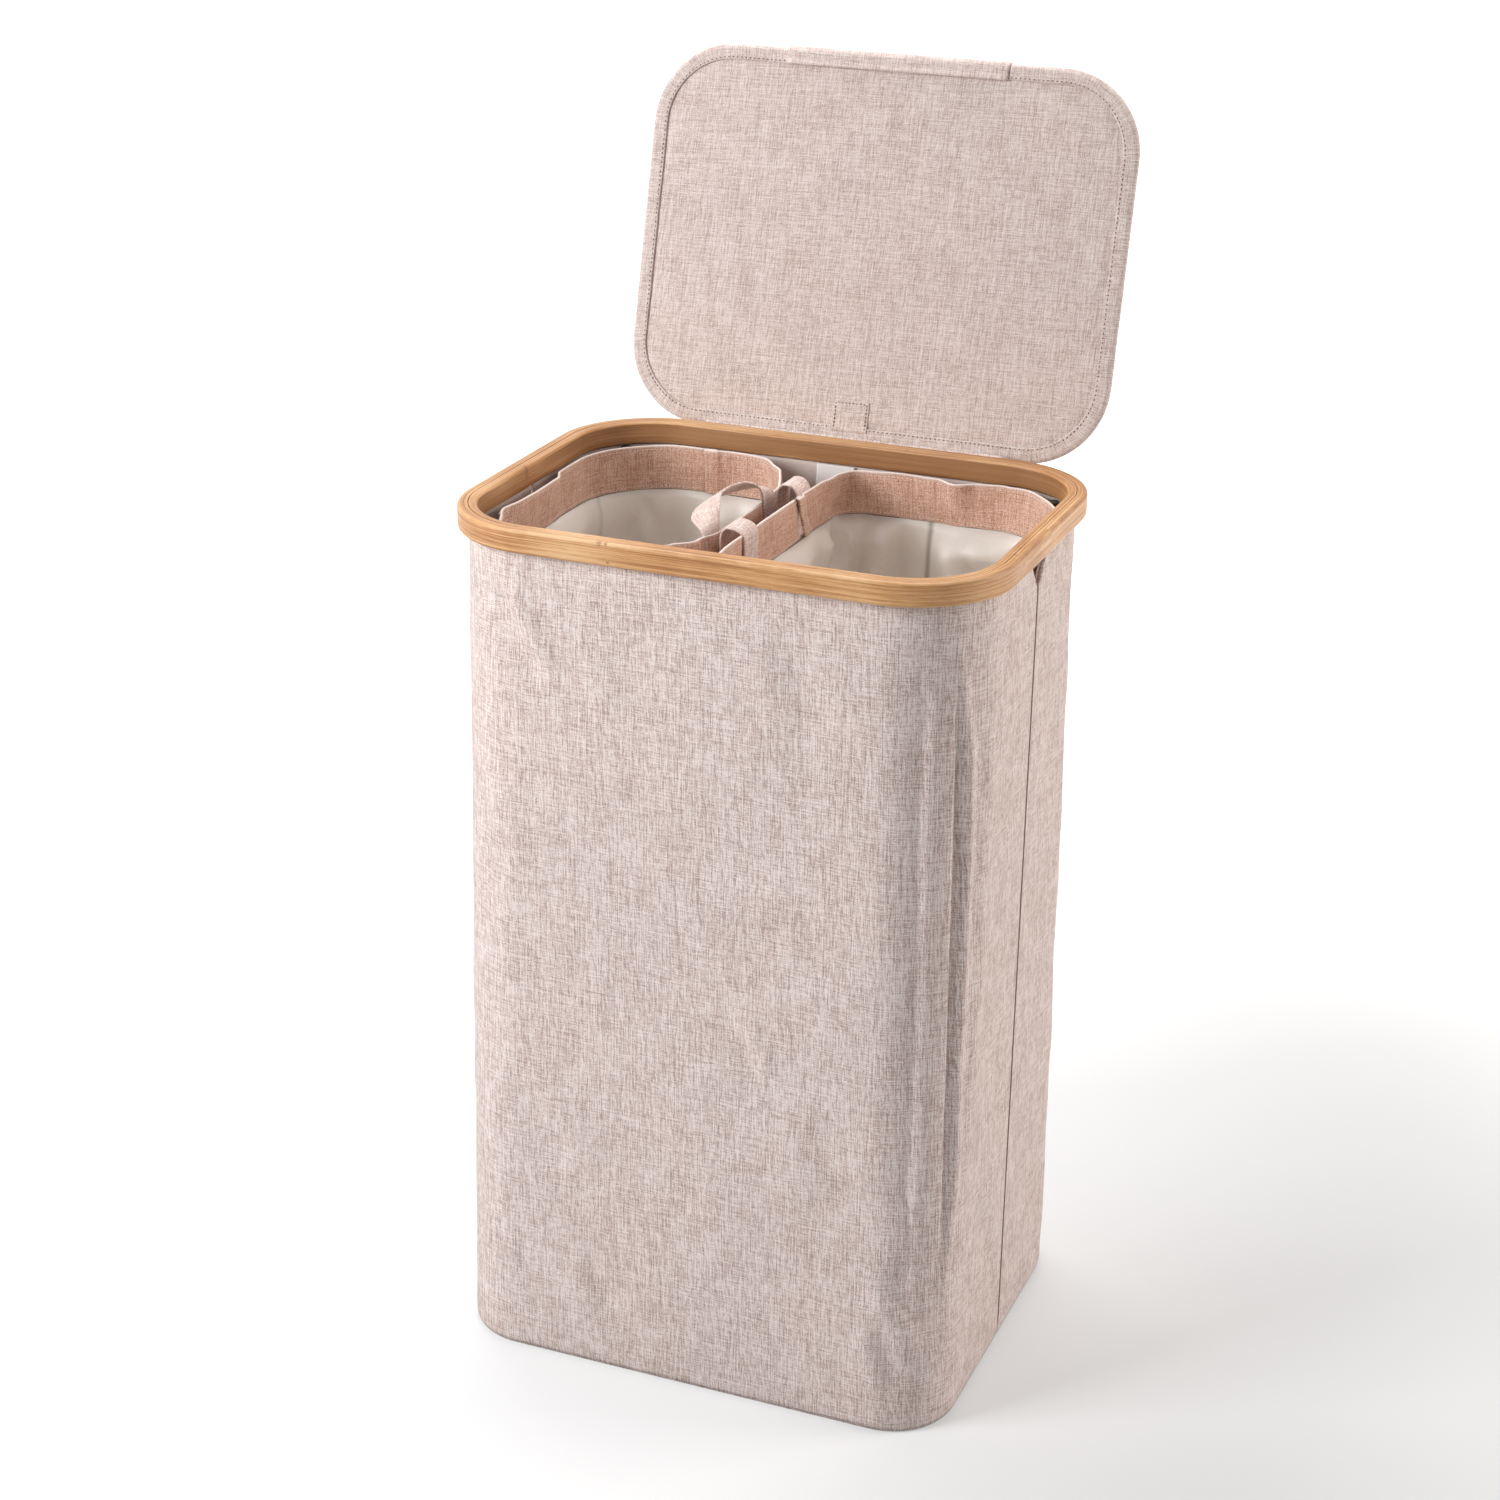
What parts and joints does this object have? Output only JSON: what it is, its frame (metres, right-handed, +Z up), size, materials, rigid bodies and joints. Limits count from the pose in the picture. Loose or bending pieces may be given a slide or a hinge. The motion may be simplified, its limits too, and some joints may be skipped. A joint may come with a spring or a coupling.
{
  "type": "laundry hamper",
  "caption": "Upright cloth laundry hamper with a bent bamboo rim, a hinged lid and lift-out bags side by side for sorting.",
  "frame": {"origin": "centre of the base, on the floor", "axes": "+X to the right seen from the front, +Y to the back where the lid is hinged, +Z up"},
  "size_m": [0.4, 0.39, 0.911],
  "materials": {
    "bamboo": "satin lacquer",
    "linen": "heathered greige-pink linen look",
    "inner_cloth": "plain woven cloth",
    "bag_lining": "smooth pale lining cloth",
    "white_tape": "plain woven tape",
    "fastening_strip": "hook and loop",
    "board": "raw fibreboard",
    "rod_steel": "grey powder coat",
    "black_plastic": "moulded, matt"
  },
  "bodies": {
    "hamper": {"rim_outer_band": "bamboo", "rim_inner_band": "bamboo", "front_wall": "linen", "back_wall": "linen", "top_facing": "inner_cloth", "left_seam_tape": "inner_cloth", "right_seam_tape": "inner_cloth", "bottom_panel": "inner_cloth", "bottom_tape": "inner_cloth", "base_board": "board", "front_left_rod": "rod_steel", "front_right_rod": "rod_steel", "back_right_rod": "rod_steel", "back_left_rod": "rod_steel", "front_left_rod_sleeve": "inner_cloth", "front_right_rod_sleeve": "inner_cloth", "back_right_rod_sleeve": "inner_cloth", "back_left_rod_sleeve": "inner_cloth", "front_left_rod_socket": "black_plastic", "front_right_rod_socket": "black_plastic", "back_right_rod_socket": "black_plastic", "back_left_rod_socket": "black_plastic", "front_left_rod_cap": "black_plastic", "front_right_rod_cap": "black_plastic", "back_right_rod_cap": "black_plastic", "back_left_rod_cap": "black_plastic", "left_front_loop_strip": "fastening_strip", "left_back_loop_strip": "fastening_strip", "right_front_loop_strip": "fastening_strip", "right_back_loop_strip": "fastening_strip", "rear_tape": "white_tape", "lid_hinge_strip": "linen"},
    "lid": {"lid_inner_cover": "linen", "lid_board": "board", "lid_outer_cover": "linen", "lid_binding": "linen", "lid_pull_tab": "linen", "lid_centre_tab": "linen"},
    "left_bag": {"left_bag_collar": "linen", "left_bag_lining": "bag_lining", "left_bag_floor": "bag_lining", "left_bag_inner_handle": "linen", "left_bag_outer_handle": "linen", "left_bag_front_hook_strip": "fastening_strip", "left_bag_back_hook_strip": "fastening_strip"},
    "right_bag": {"right_bag_collar": "linen", "right_bag_lining": "bag_lining", "right_bag_floor": "bag_lining", "right_bag_inner_handle": "linen", "right_bag_outer_handle": "linen", "right_bag_front_hook_strip": "fastening_strip", "right_bag_back_hook_strip": "fastening_strip"}
  },
  "joints": [
    {"name": "lid_hinge", "type": "hinge", "parent": "hamper", "child": "lid", "pos_m": [0, 0.1474, 0.6306], "axis": [1, 0, 0], "range_deg": [0, 104.35], "deforming": ["lid_hinge_strip"]},
    {"name": "left_bag_lift", "type": "slide", "parent": "hamper", "child": "left_bag", "axis": [0, 0, 1], "range_m": [0, 0.66]},
    {"name": "right_bag_lift", "type": "slide", "parent": "hamper", "child": "right_bag", "axis": [0, 0, 1], "range_m": [0, 0.66]}
  ]
}
